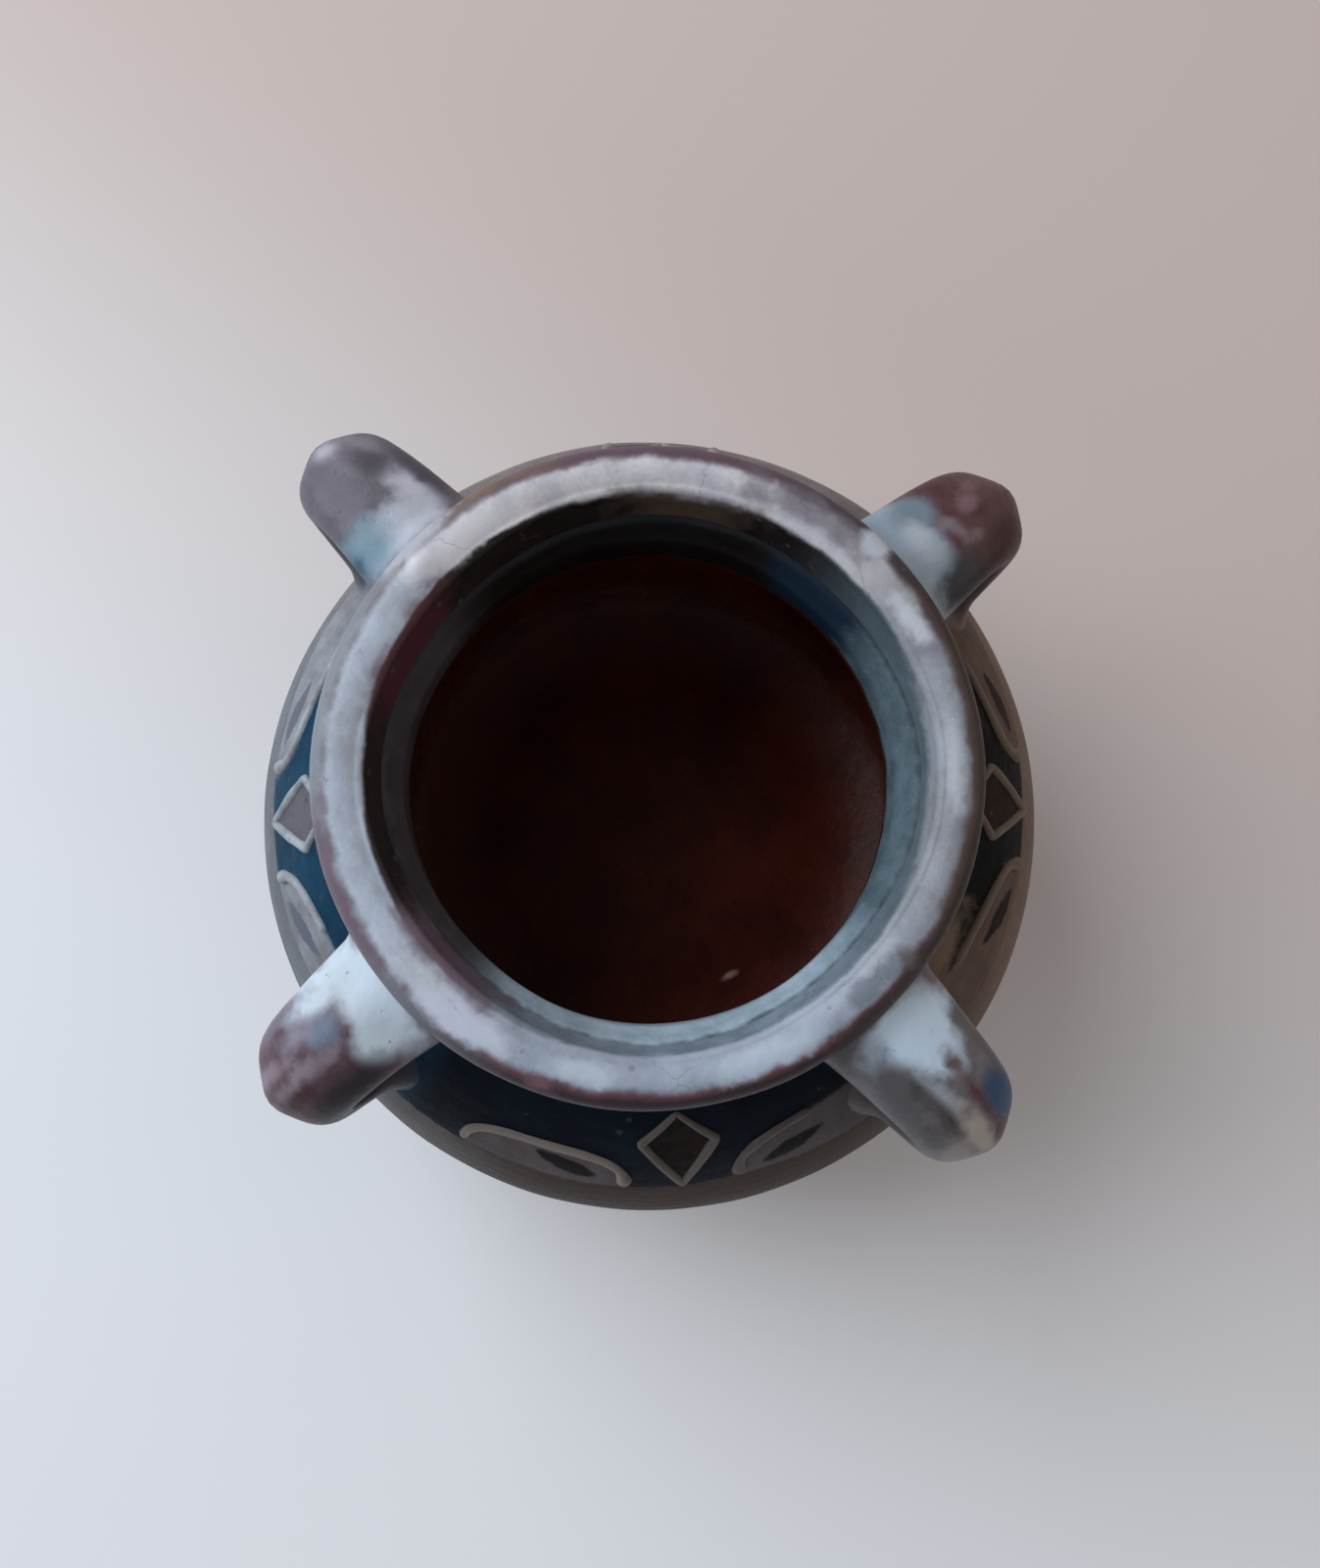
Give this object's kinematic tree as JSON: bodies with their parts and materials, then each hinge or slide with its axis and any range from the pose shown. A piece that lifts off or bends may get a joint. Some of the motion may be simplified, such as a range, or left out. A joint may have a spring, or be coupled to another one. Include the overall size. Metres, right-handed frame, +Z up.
{
  "type": "ceramic vase",
  "caption": "Squat globular ceramic vase with a thick pale rim, strap handles from rim to shoulder, and a blue and brown frieze of slip-outlined arches and lozenges.",
  "frame": {"origin": "on the table, under the middle of the foot ring", "axes": "+Z up along the pot's axis; +X and +Y point close to the east and north handles"},
  "size_m": [0.1319, 0.1295, 0.08],
  "materials": {
    "white_glaze": "satin pale lavender-white glaze with worn manganese-brown edges",
    "frieze_glaze": "satin blue and brown glaze in fields",
    "belly_glaze": "satin grey-white glaze with thin brown lines",
    "handle_glaze": "satin manganese purple-brown over white glaze",
    "pale_slip": "trailed pale slip under clear glaze",
    "terracotta": "bare fired clay outside, red-brown glaze inside"
  },
  "bodies": {
    "root": {"foot_ring": "terracotta", "floor_disc": "terracotta", "lower_wall": "belly_glaze", "shoulder_wall": "frieze_glaze", "neck_collar": "white_glaze", "rim_coil": "white_glaze", "handle_east": "handle_glaze", "handle_north": "handle_glaze", "handle_west": "handle_glaze", "handle_south": "handle_glaze", "slip_arches": "pale_slip", "slip_lozenges": "pale_slip"}
  },
  "joints": []
}
